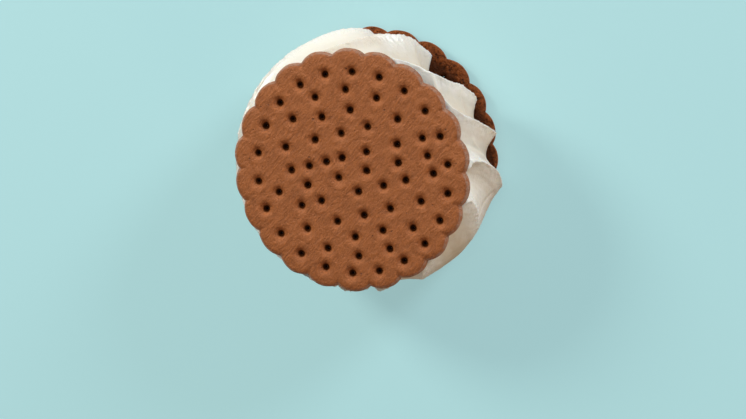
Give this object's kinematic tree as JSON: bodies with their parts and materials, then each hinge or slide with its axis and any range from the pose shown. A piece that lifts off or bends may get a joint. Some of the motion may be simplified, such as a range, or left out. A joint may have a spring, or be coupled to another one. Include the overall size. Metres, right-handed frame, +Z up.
{
  "type": "ice cream sandwich",
  "caption": "Ice cream sandwich: a thick ridged swirl of soft vanilla ice cream between round scalloped chocolate wafers pricked with small holes, lying flat on one wafer.",
  "frame": {"origin": "centre of the bounding box's bottom face, on the outer face of the bottom wafer", "axes": "+Z up through the stack, from the bottom wafer to the top one; +X along the rows of holes in the top wafer; +Y across the rows"},
  "size_m": [0.0914, 0.091, 0.035],
  "materials": {
    "chocolate_wafer": "dry baked chocolate wafer, finely creased, pricked with holes and slightly pitted",
    "soft_ice_cream": "soft piped vanilla ice cream, softly shiny, with a fine torn grain along the ridges"
  },
  "bodies": {
    "root": {"wafer_bottom": "chocolate_wafer", "ice_cream": "soft_ice_cream", "wafer_top": "chocolate_wafer"}
  },
  "joints": []
}
